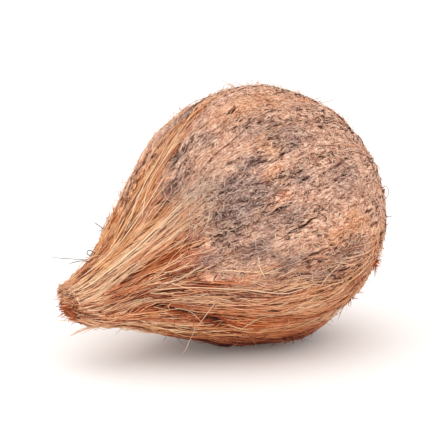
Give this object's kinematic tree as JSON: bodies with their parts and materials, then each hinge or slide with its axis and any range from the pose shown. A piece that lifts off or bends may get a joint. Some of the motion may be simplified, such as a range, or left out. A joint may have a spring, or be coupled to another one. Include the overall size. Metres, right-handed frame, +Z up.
{
  "type": "semi-husked coconut",
  "caption": "Semi-husked coconut lying on its side, a ball of matted brown fibre drawn out into a combed, broken-ended tuft.",
  "frame": {"origin": "middle of the small flat spot that the nut rests on, under the ball", "axes": "+Z up, -X towards the tuft end, -Y the side with the combed shoulder lock, seen from a little above"},
  "size_m": [0.1803, 0.1324, 0.1262],
  "materials": {
    "husk_fibre": "dry matted fibre, matt"
  },
  "bodies": {
    "root": {"coconut": "husk_fibre"}
  },
  "joints": []
}
